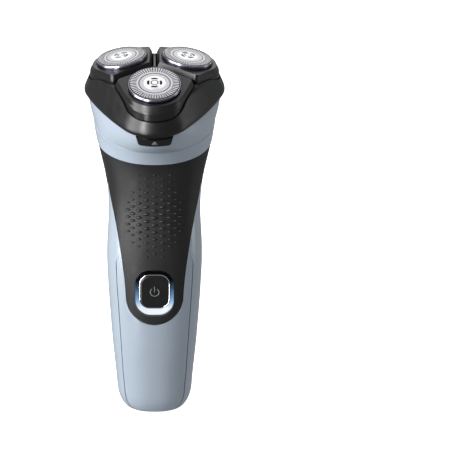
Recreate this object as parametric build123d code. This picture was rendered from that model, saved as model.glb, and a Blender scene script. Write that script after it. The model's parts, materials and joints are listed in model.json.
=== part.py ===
from build123d import *
import math
import os

# Rotary electric shaver: a hand-held handle with three canted shaving heads.
# Millimetres. +Z runs up the handle from its flat foot, -Y is the front (the side
# with the power button), and the origin is the centre of the foot.
# The shaving unit leans forward. Its parts are modelled in the "unit frame": w runs
# up the unit's own axis, v towards the back, u to the right, and w = 0 is the height
# of the guards' shaving surface. Head 0 is the front one, 1 back right, 2 back left.

# ---------------------------------------------------------------- driving dimensions
LEAN = 18.0                 # forward lean of the shaving unit, degrees
UNIT_Y, UNIT_Z = -5.0, 156.5  # unit frame's origin in the handle frame
HEAD_CIRCLE = 16.0          # radius of the circle through the three head centres
CANT = 10.0                 # outward cant of each head, degrees

WALL = 2.0                  # handle shell thickness
SEAM = 0.25                 # visible gap between handle panels
FIT = 0.15                  # general clearance between parts that seat in each other
RUNNING = 0.05              # radial clearance of a pin or shaft that turns in a bore

# Handle stations: height, half width, front depth, back depth.
FOOT_HEIGHT, FOOT_INSET = 13.0, 6.2
HANDLE_STATIONS = [
    (FOOT_HEIGHT, 17.15, 14.8, 15.2),
    (25.0, 18.2, 15.8, 16.2),
    (45.0, 19.7, 17.0, 17.3),
    (62.0, 20.6, 17.6, 18.0),
    (78.0, 20.75, 17.3, 18.6),
    (91.0, 19.95, 16.4, 19.2),
]
# Neck stations: y, z of the plane's origin, its lean, half width, front, back.
NECK_STATIONS = [
    (1.0, 101.5, 6.0, 20.1, 17.1, 19.3),
    (2.6, 112.0, 12.0, 21.6, 19.3, 19.0),
]
# Collar: heights in the unit frame, then half width, front, back, triangle share.
COLLAR_FOOT, COLLAR_STEP, COLLAR_TOP = -33.5, -27.0, -16.8
COLLAR_FOOT_STATION = (COLLAR_FOOT, 24.5, 23.6, 17.2, 0.12)
COLLAR_STEP_STATION = (COLLAR_STEP, 25.2, 23.6, 18.3, 0.35)
COLLAR_MID_STATION = (-22.0, 26.7, 26.8, 20.6, 0.7)
COLLAR_TOP_STATION = (COLLAR_TOP, 27.5, 29.4, 23.0, 1.0)
COLLAR_CORNER = 14.3        # corner radius of the triangular top
COLLAR_LEDGE = 0.2          # how far the lower band stands proud of the upper one
SIDE_RADIUS = 120.0         # radius of the triangle's bowed sides
SECTION_POWER = 2.35        # squareness of the handle's cross-section

# Shaving unit
SHELL_FOOT = -16.4          # lower rim of the unit's shell
SHELL_RIM, SHELL_CORNER = -15.2, 15.95
SHELL_WALL = 1.5
POD_ARC, POD_ARC_SHIFT = 12.15, 1.65  # a pod's outer arc; its centre is outside the head's
POD_CORNER_REACH = 18.8     # where two pods and the shell meet, from the unit's axis
POD_FOOT, POD_SEAM = -11.2, -9.5  # a pod is widest at its seam with the shell
POD_GAP = 0.45              # gap between pod and shell
POD_DRAFT = 10.0            # the pods narrow downwards, degrees
SPOKE_WIDTH, SPOKE_GAP = 0.8, 0.45
POD_HINGE_R, POD_HINGE_W = 11.0, -8.5  # pod hinge line, from the unit's axis
POD_PIN_RADIUS = 0.7
POD_CORNER_FILLET = 1.6
POD_PIN_SPAN = (14.4, 17.4)
PLATEAU = -1.85             # lip round the guard, below the shaving surface
# Bends of a pod's rounded ledge and its lip, on planes parallel to the shaving surface:
# height from that surface, radius of the arc, its shift, growth of the sides.
POD_BENDS = [
    (-4.6, 12.05, 1.6, -0.03),
    (-4.0, 11.95, 1.45, -0.12),
    (-3.6, 11.85, 1.2, -0.3),
    (PLATEAU, 12.4, -0.3, -1.1),
]

# Cutting heads, in each head's own frame (z = 0 is the shaving surface)
GUARD_RADIUS = 10.75
GUARD_FLANGE_RADIUS = 11.25
GUARD_SKIN = 0.35
GUARD_SLOTS, GUARD_SLOT_WIDTH = 72, 0.4
TRACK_INNER, TRACK_OUTER = 6.6, 9.9
GUARD_FLANGE_TOP, GUARD_FLANGE_FOOT, GUARD_FOOT = -2.4, -3.0, -4.2
BADGE_RADIUS, BADGE_GROOVE, BADGE_FLOOR = 4.45, (1.15, 1.6), -0.1
CUTTER_BLADES, BLADE_THICKNESS = 9, 0.5
CUTTER_GAP = 0.1            # blade tips below the guard's skin
CUTTER_FLOOR = -3.6
HUB_FLOOR, HUB_FOOT, HUB_BOSS_RADIUS = -4.6, -7.6, 2.9
SLOT_WIDTH, SLOT_TOP = 1.95, -4.3
TONGUE_THICKNESS, TONGUE_TOP, TONGUE_FOOT = 1.3, -6.2, -9.1
RETAINER_TOP, RETAINER_FOOT, RETAINER_INNER = -6.7, -7.7, 8.9

# Transmission
MODULE, PINION_TEETH, GEAR_TEETH = 0.5, 15, 35
PRESSURE_ANGLE, BACKLASH = 20.0, 0.14
GEAR_TOP, GEAR_FOOT = -18.9, -21.1
GEAR_HUB_RADIUS, GEAR_CUP_RADIUS, GEAR_CUP_FLOOR, GEAR_HUB_FOOT = 3.4, 2.2, -21.7, -23.9
SPINDLE_RADIUS, CROSS_PIN_RADIUS, CROSS_PIN_HALF = 1.0, 0.5, 2.7
SPINDLE_BALL, SPINDLE_COLLAR = 1.6, 1.9
SPRING_WIRE, SPRING_RADIUS = 0.2, 1.4
AXLE_RADIUS = 1.0
DECK_THICKNESS = 1.5
SEAL_RADIUS, SEAL_BORE = 2.7, 1.35
PLATE_TOP, PLATE_THICKNESS = -24.2, 1.6
MOTOR_RADIUS, MOTOR_LENGTH, SHAFT_RADIUS = 7.5, 18.0, 1.0
PILLAR_RADIUS, PILLAR_CIRCLE = 1.5, 15.6

# Front controls
BUTTON_HEIGHT = 61.0
BUTTON_WIDTH, BUTTON_LENGTH, BUTTON_CORNER = 12.4, 14.8, 4.1
BUTTON_TRAVEL = 0.8
RECESS_WIDTH, RECESS_LENGTH, RECESS_CORNER, RECESS_HEIGHT = 16.5, 21.2, 6.4, 60.4
TRIM_WALL = 0.4
RELEASE_WIDTH, RELEASE_HEIGHT = 15.4, 4.5
RELEASE_GROOVE = (0.6, 1.2)  # depth and height of the groove along its top
RELEASE_SEAT = -23.5        # tab behind the release spring, in the unit frame

# Lid hinge at the back of the unit
HINGE_V, HINGE_W, HINGE_RADIUS = 24.0, -18.0, 0.7
HINGE_SPAN, KNUCKLE_RADIUS, EAR_WIDTH = 15.0, 1.45, 2.6

# Pop-up trimmer on the back
TRIMMER_FOOT, TRIMMER_LENGTH, TRIMMER_WIDTH, TRIMMER_DEPTH = 97.0, 25.0, 17.0, 3.2
TRIMMER_PIN_RADIUS, TRIMMER_PIN_INSET = 0.6, 1.7
COMB_LENGTH, COMB_WIDTH, COMB_THICKNESS, TEETH = 9.5, 15.6, 0.5, 20
BLADE_RUN = 0.05            # clearance over and under the moving blade
SWITCH_HEIGHT, SWITCH_TRAVEL = 84.5, 3.0
SWITCH_WIDTH, SWITCH_LENGTH = 8.0, 8.4

# Power and the frame inside the handle
CELL_RADIUS, CELL_LENGTH, CELL_Y = 7.0, 48.0, 3.0
FRAME_FOOT, FRAME_WALL, FRAME_HALF = 20.0, 1.4, 8.6
CONTACT_LENGTH = 2.5
BOARD_FACE, BOARD_THICKNESS, BOARD_LENGTH = -9.6, 1.2, 70.0
SWITCH_BODY, SWITCH_BODY_HEIGHT = 6.0, 1.4
BOSS_RADIUS, BOSS_X, BOSS_END = 2.6, 12.4, 6.0
SCREW_RADIUS, SCREW_HEAD, SCREW_LENGTH = 1.0, 2.0, 5.0
INLET_WIDTH, INLET_DEPTH, INLET_LENGTH, INLET_WALL = 9.2, 5.0, 8.2, 1.2
INLET_Y, INLET_FLANGE = 4.6, 1.0
INLET_PIN_RADIUS, INLET_PIN_SPACING, INLET_PIN_LENGTH = 0.75, 4.0, 3.7

# ---------------------------------------------------------------- frames and helpers
SIN_LEAN, COS_LEAN = math.sin(math.radians(LEAN)), math.cos(math.radians(LEAN))
UNIT = Plane(
    origin=(0, UNIT_Y, UNIT_Z), x_dir=(1, 0, 0), z_dir=(0, -SIN_LEAN, COS_LEAN)
)
HEAD_ANGLES = [-90.0, 30.0, 150.0]
FAR = 80.0
NODES = {}


def keep(name, shape):
    """Files a finished piece, already in the handle frame, under its node's name."""
    NODES[name] = shape


def in_unit(shape):
    return UNIT.location * shape


def head_plane(index):
    """Head frame in unit coordinates: z along the canted axis, x outwards."""
    a, t = math.radians(HEAD_ANGLES[index]), math.radians(CANT)
    return Plane(
        origin=(HEAD_CIRCLE * math.cos(a), HEAD_CIRCLE * math.sin(a), 0),
        x_dir=(math.cos(t) * math.cos(a), math.cos(t) * math.sin(a), -math.sin(t)),
        z_dir=(math.sin(t) * math.cos(a), math.sin(t) * math.sin(a), math.cos(t)),
    )


def in_head(index, shape):
    return UNIT.location * (head_plane(index).location * shape)


def turned(shape, index):
    """Copies a piece modelled in unit coordinates for head 0 round to another head."""
    return Rotation(0, 0, HEAD_ANGLES[index] - HEAD_ANGLES[0]) * shape


def solid_of(shape):
    """The largest solid of a result, dropping crumbs that a cut leaves behind."""
    return max(shape.solids(), key=lambda s: s.volume)


def disc(radius, low, high):
    return Pos(0, 0, low) * Cylinder(
        radius, high - low, align=(Align.CENTER, Align.CENTER, Align.MIN)
    )


def tube(outer, inner, low, high):
    return disc(outer, low, high) - disc(inner, low - 1, high + 1)


def block(x, y, z):
    """Box from three (low, high) pairs."""
    return Pos((x[0] + x[1]) / 2, (y[0] + y[1]) / 2, (z[0] + z[1]) / 2) * Box(
        x[1] - x[0], y[1] - y[0], z[1] - z[0]
    )


def turned_profile(points):
    """Solid of revolution about Z from (radius, height) points."""
    return revolve(make_face(Plane.XZ * Polyline(*points, close=True)), Axis.Z)


def front_prism(face, near, far):
    """Extrudes a face drawn in the XZ view along Y, from y = near to y = far."""
    drawn = Plane(origin=(0, near, 0), x_dir=(1, 0, 0), z_dir=(0, -1, 0)) * face
    return extrude(drawn, near - far)


def rod_x(radius, low, high, y, z):
    return Pos((low + high) / 2, y, z) * (
        Rotation(0, 90, 0) * Cylinder(radius, high - low)
    )


# ---------------------------------------------------------------- outlines
def triangle_radius(angle, corner):
    """Polar radius of the rounded triangle, angle in radians from its nearest corner."""
    c, s = HEAD_CIRCLE, SIDE_RADIUS
    back = (-c + math.sqrt(c * c - 4 * (c * c - (s - corner) ** 2))) / 2
    sx, sy = -back * 0.5, -back * math.sqrt(3) / 2
    reach = math.hypot(c - sx, sy)
    tx, ty = sx + (c - sx) / reach * s, sy - sy / reach * s
    if angle <= math.atan2(ty, tx):
        return c * math.cos(angle) + math.sqrt(corner**2 - (c * math.sin(angle)) ** 2)
    b = math.cos(angle) * sx + math.sin(angle) * sy
    return b + math.sqrt(b * b - sx * sx - sy * sy + s * s)


def section(half, front, back, share=0.0, corner=COLLAR_CORNER, inset=0.0, count=36):
    """Closed handle section: a squared oval, blended into the rounded triangle."""
    points = []
    for k in range(count):
        a = 2 * math.pi * k / count
        ca, sa = math.cos(a), math.sin(a)
        depth = (back if sa > 0 else front) - inset
        x = (half - inset) * math.copysign(abs(ca) ** (2 / SECTION_POWER), ca)
        y = depth * math.copysign(abs(sa) ** (2 / SECTION_POWER), sa)
        if share:
            theta = math.atan2(y, x)
            turn = (theta + math.pi / 2) % (2 * math.pi / 3)
            r = triangle_radius(min(turn, 2 * math.pi / 3 - turn), corner - inset)
            x = x * (1 - share) + share * r * math.cos(theta)
            y = y * (1 - share) + share * r * math.sin(theta)
        points.append((x, y))
    return make_face(Spline(*points, periodic=True))


def leaning(y, z, lean):
    s, c = math.sin(math.radians(lean)), math.cos(math.radians(lean))
    return Plane(origin=(0, y, z), x_dir=(1, 0, 0), z_dir=(0, -s, c))


def handle_loft(inset):
    """Handle from the foot to the collar's step. The inset makes its hollow."""
    _, half, front, back = HANDLE_STATIONS[0]
    sections = []
    for degrees in (0, 22, 45, 68):
        angle = math.radians(degrees)
        z = inset + (FOOT_HEIGHT - inset) * (1 - math.cos(angle))
        shrink = inset + (FOOT_INSET - inset / 2) * (1 - math.sin(angle))
        sections.append(
            leaning(0, z, 0) * section(half, front, back, inset=shrink)
        )
    for z, half, front, back in HANDLE_STATIONS:
        sections.append(leaning(0, z, 0) * section(half, front, back, inset=inset))
    for y, z, lean, half, front, back in NECK_STATIONS:
        sections.append(leaning(y, z, lean) * section(half, front, back, inset=inset))
    for w, half, front, back, share in (COLLAR_FOOT_STATION, COLLAR_STEP_STATION):
        sections.append(
            UNIT * (Pos(0, 0, w) * section(half, front, back, share, inset=inset))
        )
    return loft(sections)


def collar_loft(inset, low=COLLAR_STEP, high=COLLAR_TOP):
    """Upper part of the collar, in the handle frame, run on past its ends if asked."""
    stations = [COLLAR_STEP_STATION, COLLAR_MID_STATION, COLLAR_TOP_STATION]
    sections = []
    for w, half, front, back, share in stations:
        w = {COLLAR_STEP: low, COLLAR_TOP: high}.get(w, w)
        sections.append(
            UNIT * (Pos(0, 0, w) * section(half, front, back, share, inset=inset))
        )
    return loft(sections)


def triangle_face(corner, w):
    """Rounded triangle of true arcs at height w of the unit frame."""
    c, s = HEAD_CIRCLE, SIDE_RADIUS
    back = (-c + math.sqrt(c * c - 4 * (c * c - (s - corner) ** 2))) / 2
    edges = []
    joints = []
    for k in range(3):
        vertex = math.radians(-90 + 120 * k)
        vx, vy = c * math.cos(vertex), c * math.sin(vertex)
        ends = []
        for side in (-1, 1):
            normal = vertex + side * math.pi / 3
            sx, sy = -back * math.cos(normal), -back * math.sin(normal)
            reach = math.hypot(vx - sx, vy - sy)
            ends.append((sx + (vx - sx) / reach * s, sy + (vy - sy) / reach * s))
        tip = ((c + corner) * math.cos(vertex), (c + corner) * math.sin(vertex))
        edges.append(ThreePointArc(ends[0], tip, ends[1]))
        joints.append(ends)
    for k in range(3):
        normal = math.radians(-30 + 120 * k)
        mid = ((s - back) * math.cos(normal), (s - back) * math.sin(normal))
        edges.append(ThreePointArc(joints[k][1], mid, joints[(k + 1) % 3][0]))
    return Pos(0, 0, w) * make_face(edges)


def triangle_loft(stations):
    """Lofts rounded triangles, from (height, corner radius) pairs, in unit coordinates."""
    return loft([triangle_face(corner, w) for w, corner in stations])


def pod_face(arc, shift, side):
    """Plan of the front pod: a wide sector with a rounded outer end, sides grown by side."""
    slope = math.tan(math.radians(-30))
    kx = POD_CORNER_REACH * math.cos(math.radians(-30)) + side * 0.9
    ky = POD_CORNER_REACH * math.sin(math.radians(-30)) + side * 0.3
    middle = -HEAD_CIRCLE - shift
    dx, dy = kx, ky - middle
    touch = math.atan2(dy, dx) - math.acos(arc / math.hypot(dx, dy))
    tx, ty = arc * math.cos(touch), middle + arc * math.sin(touch)
    # the side along the spoke ends where the spoke's edge line meets the corner
    apex = -(SPOKE_WIDTH / 2 + SPOKE_GAP - side) / math.sin(math.radians(60))
    edge_y = apex + slope * kx
    outline = [
        Line((0, apex), (kx, edge_y)),
        Line((kx, edge_y), (tx, ty)),
        ThreePointArc((tx, ty), (0, middle - arc), (-tx, ty)),
        Line((-tx, ty), (-kx, edge_y)),
        Line((-kx, edge_y), (0, apex)),
    ]
    face = make_face(outline)
    corners = [v for v in face.vertices() if abs(abs(v.X) - kx) < 0.01]
    return fillet(corners, POD_CORNER_FILLET)


def canted(face, height):
    """Lifts a plan of the front pod onto a plane parallel to its shaving surface."""
    shift = -height * math.sin(math.radians(CANT))
    drawn = Rotation(0, 0, 90) * (Pos(0, HEAD_CIRCLE, 0) * face)
    return head_plane(0).location * (Pos(shift, 0, height) * drawn)


def rounded(width, length, corner):
    return RectangleRounded(width, length, corner)


def gear_face(teeth, phase):
    """Involute gear outline with a tooth gap or a tooth at the phase angle, degrees."""
    pitch = MODULE * teeth / 2
    base = pitch * math.cos(math.radians(PRESSURE_ANGLE))
    root, tip = pitch - 1.25 * MODULE, pitch + 0.95 * MODULE

    def half_angle(r):
        roll = math.acos(base / max(r, base))
        start = math.radians(PRESSURE_ANGLE)
        full = math.pi / (2 * teeth) - BACKLASH / 2 / pitch
        return full + (math.tan(start) - start) - (math.tan(roll) - roll)

    low = max(base, root)
    radii = [low + (tip - low) * k / 4 for k in range(5)]
    points = []
    for tooth in range(teeth):
        middle = math.radians(phase + 360 / teeth * tooth)
        flank = [(root, half_angle(low))] + [(r, half_angle(r)) for r in radii]
        if root >= base:
            flank = flank[1:]
        for r, h in flank:
            points.append((r * math.cos(middle - h), r * math.sin(middle - h)))
        for r, h in reversed(flank):
            points.append((r * math.cos(middle + h), r * math.sin(middle + h)))
    return make_face(Polyline(*points, close=True))


# ---------------------------------------------------------------- handle casing
def grip_cutter(grow):
    """Region of the shell that the black grip fills: a tongue down the front."""
    side = [
        (26.5, 131.0), (23.8, 127.5), (21.5, 117.2), (19.9, 109.0), (18.7, 101.2),
        (17.2, 94.7), (15.7, 87.2), (14.6, 80.7), (13.0, 69.0), (12.1, 57.0),
    ]
    tip_z = 45.8
    right = [(x + grow, z) for x, z in side]
    low = right[-1]
    edges = [
        Spline(*right),
        TangentArc(low, (0, tip_z - grow), tangent=(-0.09, -1)),
    ]
    left_low = (-low[0], low[1])
    edges.append(TangentArc(left_low, (0, tip_z - grow), tangent=(0.09, -1)))
    edges.append(Spline(*[(-x, z) for x, z in right]))
    top = (right[0][0], right[0][1])
    edges.append(Polyline(top, (top[0], 140), (-top[0], 140), (-top[0], top[1])))
    front = front_prism(make_face(edges), -FAR, 0)
    shoulder = [
        (-FAR, 106.0 - grow), (-4.0, 106.0 - grow), (0.4 + grow, 108.2 - grow),
        (3.6 + grow, 114.0), (9.5 + grow, 133.0), (9.5 + grow, 140), (-FAR, 140),
    ]
    flank = extrude(
        Plane.YZ * make_face(Polyline(*shoulder, close=True)), FAR / 2, both=True
    )
    below = in_unit(block((-FAR, FAR), (-FAR, FAR), (-2 * FAR, COLLAR_FOOT + grow)))
    return (front + flank) & below


def panel_cutter(grow):
    """Region of the shell that the lower front panel fills, behind the grip's tongue."""
    shoulder = [(11.0, 77.8), (13.6, 77.0), (15.6, 74.9), (16.35, 71.6)]
    flank = [(16.35, 71.6), (15.9, 60.0), (15.1, 46.0), (14.4, 32.0), (13.7, 18.0)]
    toe = [(13.7, 18.0), (13.1, 10.5), (11.6, 4.6), (8.6, 1.3), (4.5, 0.4)]
    edges = []
    for mirror in (1, -1):
        for stretch in (shoulder, flank, toe):
            edges.append(Spline(*[(mirror * (x + grow), z - grow) for x, z in stretch]))
    for x, z in (shoulder[0], toe[-1]):
        edges.append(Line((-x - grow, z - grow), (x + grow, z - grow)))
    return front_prism(make_face(edges), -FAR, -7.0 + grow)


def recess_cutter():
    """Hole in the grip round the power button."""
    face = Pos(0, RECESS_HEIGHT) * rounded(RECESS_WIDTH, RECESS_LENGTH, RECESS_CORNER)
    return front_prism(face, -FAR, -2)


def back_plane(height):
    """Plane on the back of the upper handle: local y points out of the surface."""
    low_z, _, _, low_y = HANDLE_STATIONS[-1]
    if height < low_z:
        high_y, high_z = low_y, low_z
        low_z, _, _, low_y = HANDLE_STATIONS[-2]
    else:
        y, z, lean, _, _, back = NECK_STATIONS[-1]
        high_y = y + back * math.cos(math.radians(lean))
        high_z = z + back * math.sin(math.radians(lean))
    slope = (high_y - low_y) / (high_z - low_z)
    y = low_y + (height - low_z) * slope
    return leaning(y, height, -math.degrees(math.atan(slope)))


def trimmer_box(grow, depth, outside=FAR):
    """Box the trimmer fills in its back plane, grown all round and set to a depth."""
    half = TRIMMER_WIDTH / 2 + grow
    face = Pos(0, TRIMMER_LENGTH / 2) * rounded(2 * half, TRIMMER_LENGTH + 2 * grow, 2.0)
    drawn = Plane(origin=(0, outside, 0), x_dir=(1, 0, 0), z_dir=(0, -1, 0)) * face
    return back_plane(TRIMMER_FOOT).location * extrude(drawn, outside + depth)


def switch_window(grow):
    length = SWITCH_LENGTH + SWITCH_TRAVEL + 2 * grow
    face = Pos(0, SWITCH_TRAVEL / 2) * rounded(SWITCH_WIDTH + 2 * grow, length, 2.0)
    drawn = Plane(origin=(0, 9, 0), x_dir=(1, 0, 0), z_dir=(0, -1, 0)) * face
    return back_plane(SWITCH_HEIGHT).location * extrude(drawn, 18)


def inlet_block(grow, low, high):
    half_x, half_y = INLET_WIDTH / 2 + grow, INLET_DEPTH / 2 + grow
    return block((-half_x, half_x), (INLET_Y - half_y, INLET_Y + half_y), (low, high))


def boss_places():
    """Where the frame is screwed to the rear housing, as (x, z) pairs."""
    top = FRAME_FOOT + 2 * FRAME_WALL + CELL_LENGTH + 2 * CONTACT_LENGTH
    return [(x, z) for z in (FRAME_FOOT + 8, top - 8) for x in (-BOSS_X, BOSS_X)]


def rod_y(radius, low, high, x, z):
    return Pos(x, (low + high) / 2, z) * (
        Rotation(90, 0, 0) * Cylinder(radius, high - low)
    )


def casing():
    outer, inner = handle_loft(0), handle_loft(WALL)
    shell = outer - inner
    under_collar = in_unit(block((-FAR, FAR), (-FAR, FAR), (-2 * FAR, COLLAR_FOOT)))
    grip, grip_gap = grip_cutter(0), grip_cutter(SEAM)
    panel, panel_gap = panel_cutter(0), panel_cutter(SEAM)
    keep("grip_panel", solid_of((shell & grip) - recess_cutter()))
    keep("front_panel", solid_of((shell & panel) - grip_gap))

    inlet = inlet_block(INLET_WALL, -1, WALL + 1)
    rear = (shell & under_collar) - grip_gap - panel_gap - inlet
    lining = trimmer_box(1.0 + FIT, TRIMMER_DEPTH + 1.6) & handle_loft(0.6)
    rear = rear + lining - trimmer_box(FIT, TRIMMER_DEPTH + 0.4) - switch_window(0.25)
    bosses = Part()
    for x, z in boss_places():
        bosses += rod_y(BOSS_RADIUS, BOSS_END, FAR / 2, x, z)
    rear = rear + (bosses & handle_loft(WALL / 2))
    for x, z in boss_places():
        rear -= rod_y(SCREW_RADIUS, 0, BOSS_END + SCREW_LENGTH, x, z)
    # the trimmer's pin is carried in the pocket's side walls
    rear -= trimmer_pin_shape()
    keep("rear_housing", solid_of(rear))


def trimmer_pin_shape():
    half = TRIMMER_WIDTH / 2 + FIT + 0.7
    pin = rod_x(TRIMMER_PIN_RADIUS, -half, half, -TRIMMER_PIN_INSET, TRIMMER_PIN_INSET)
    return back_plane(TRIMMER_FOOT).location * pin


def trimmer():
    """Arm hinged at its lower end, comb and blade under its top, and the switch."""
    plane = back_plane(TRIMMER_FOOT).location
    front, tip = -TRIMMER_DEPTH, TRIMMER_LENGTH - 3.2
    half, root = COMB_WIDTH / 2, TRIMMER_LENGTH - COMB_LENGTH
    arm = trimmer_box(0, TRIMMER_DEPTH) & handle_loft(0)
    comb_top = front + COMB_THICKNESS
    blade_top = comb_top + COMB_THICKNESS + 2 * BLADE_RUN
    cut = block((-half, half), (front - 1, blade_top), (root, FAR))
    cut += block((-FAR, FAR), (-FAR, FAR), (tip, FAR))
    cut += block((-2.5, 2.5), (-0.5, FAR), (TRIMMER_LENGTH - 8.5, TRIMMER_LENGTH - 6.5))
    bore = rod_x(
        TRIMMER_PIN_RADIUS + RUNNING, -FAR, FAR, -TRIMMER_PIN_INSET, TRIMMER_PIN_INSET
    )
    # the foot is round about the pin, so that it turns inside its pocket
    corner = block((-FAR, FAR), (-FAR, FAR), (-FAR, TRIMMER_PIN_INSET))
    corner -= rod_x(
        TRIMMER_PIN_INSET - RUNNING, -FAR, FAR, -TRIMMER_PIN_INSET, TRIMMER_PIN_INSET
    )
    keep("trimmer_arm", solid_of(arm - plane * (cut + bore + corner)))
    keep("trimmer_pin", trimmer_pin_shape())

    pitch = COMB_WIDTH / TEETH
    gap = pitch * 0.42

    def toothed(width, low, base, top, end):
        plate = block((-width / 2, width / 2), (base, top), (low, end))
        count = round(width / pitch)
        for k in range(count + 1):
            x = (k - count / 2) * pitch
            plate -= block((x - gap / 2, x + gap / 2), (base - 1, top + 1), (end - 2.4, FAR))
        return plate

    comb = toothed(COMB_WIDTH, root, front, comb_top, TRIMMER_LENGTH - 0.3)
    blade = toothed(
        COMB_WIDTH - 2 * pitch,
        root + 2.0,
        comb_top + BLADE_RUN,
        blade_top - BLADE_RUN,
        TRIMMER_LENGTH - 0.7,
    )
    keep("trimmer_comb", plane * comb)
    keep("trimmer_blade", plane * blade)

    back = back_plane(SWITCH_HEIGHT).location
    half, length = SWITCH_WIDTH / 2, SWITCH_LENGTH / 2
    slide = block((-half, half), (-2.6, 0.35), (-length, length))
    slide = fillet(slide.edges().filter_by(Axis.Y), 1.8)
    slide += block(
        (-half - 1.2, half + 1.2), (-3.3, -2.6), (-length - 1.0, length + 1.0)
    )
    for k in range(-2, 3):
        slide += rod_x(0.35, -2.6, 2.6, 0.4, 1.5 * k)
    keep("trimmer_switch", back * slide)


def collar():
    """Upper ring of the handle with a notch for the release button and the hinge."""
    upper = collar_loft(0) - collar_loft(WALL, COLLAR_STEP - 1, COLLAR_TOP + 1)
    band = (handle_loft(-COLLAR_LEDGE) - handle_loft(WALL)) & in_unit(
        block((-FAR, FAR), (-FAR, FAR), (COLLAR_FOOT + SEAM, COLLAR_STEP + 0.01))
    )
    # ledge under the gear plate
    foot = PLATE_TOP - PLATE_THICKNESS
    ledge = collar_loft(WALL - 0.3, COLLAR_STEP - 1) - collar_loft(
        WALL + 1.6, COLLAR_STEP - 2, COLLAR_TOP + 1
    )
    ledge = ledge & in_unit(block((-FAR, FAR), (-FAR, FAR), (foot - 1.2, foot)))
    hinge_notch = block(
        (-HINGE_SPAN / 2 + EAR_WIDTH, HINGE_SPAN / 2 - EAR_WIDTH),
        (HINGE_V - 3.6, FAR),
        (HINGE_W - KNUCKLE_RADIUS - 0.3, 0),
    )
    # two ears carry the hinge pin, one each side of the notch
    ears = Part()
    for side in (-1, 1):
        middle = side * (HINGE_SPAN - EAR_WIDTH) / 2
        x = (middle - EAR_WIDTH / 2, middle + EAR_WIDTH / 2)
        ears += rod_x(KNUCKLE_RADIUS, *x, HINGE_V, HINGE_W)
        ears += block(x, (HINGE_V - 2.6, HINGE_V), (HINGE_W - 1.45, HINGE_W + 1.2))
    pin_hole = rod_x(HINGE_RADIUS, -HINGE_SPAN / 2, HINGE_SPAN / 2, HINGE_V, HINGE_W)
    ring = upper + band + ledge - release_prism(0.25, COLLAR_TOP + 1)
    ring = ring - in_unit(hinge_notch) + in_unit(ears) - in_unit(pin_hole)
    keep("collar", solid_of(ring))


def release_prism(grow, top):
    """Trapezoid through the front of the collar, in the handle frame."""
    half, low = RELEASE_WIDTH / 2 + grow, COLLAR_TOP - RELEASE_HEIGHT - grow
    face = make_face(
        Polyline(
            (-half, top), (half, top), (half - 1.5, low), (-half + 1.5, low), close=True
        )
    )
    face = fillet([v for v in face.vertices() if v.Y < low + 0.1], 1.0)
    return in_unit(front_prism(face, -FAR, -18.0))


# ---------------------------------------------------------------- shaving unit
def shell_dome():
    return triangle_loft(
        [
            (SHELL_FOOT, SHELL_CORNER - 0.75),
            (SHELL_RIM, SHELL_CORNER),
            (-10.5, 14.3),
            (-7.5, 13.1),
            (-5.2, 11.4),
            (-4.4, 9.6),
        ]
    )


def pod_stem(grow, low):
    """Lower part of the front pod, narrowing from its seam down to a height."""
    less = grow - (POD_SEAM - low) * math.tan(math.radians(POD_DRAFT))
    foot = pod_face(POD_ARC + less, POD_ARC_SHIFT, less)
    return loft([Pos(0, 0, low) * foot, Pos(0, 0, POD_SEAM) * pod_seam(grow)])


def pod_seam(grow):
    return pod_face(POD_ARC + grow, POD_ARC_SHIFT, grow)


def front_pod():
    """Solid front pod before it is bored: stem, wall, ledge and canted lip."""
    levels = [Pos(0, 0, POD_SEAM) * pod_seam(0)]
    for height, arc, shift, side in POD_BENDS:
        levels.append(canted(pod_face(arc, shift, side), height))
    wall = loft(levels, ruled=True)
    return wall + pod_stem(0, POD_FOOT)


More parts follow.
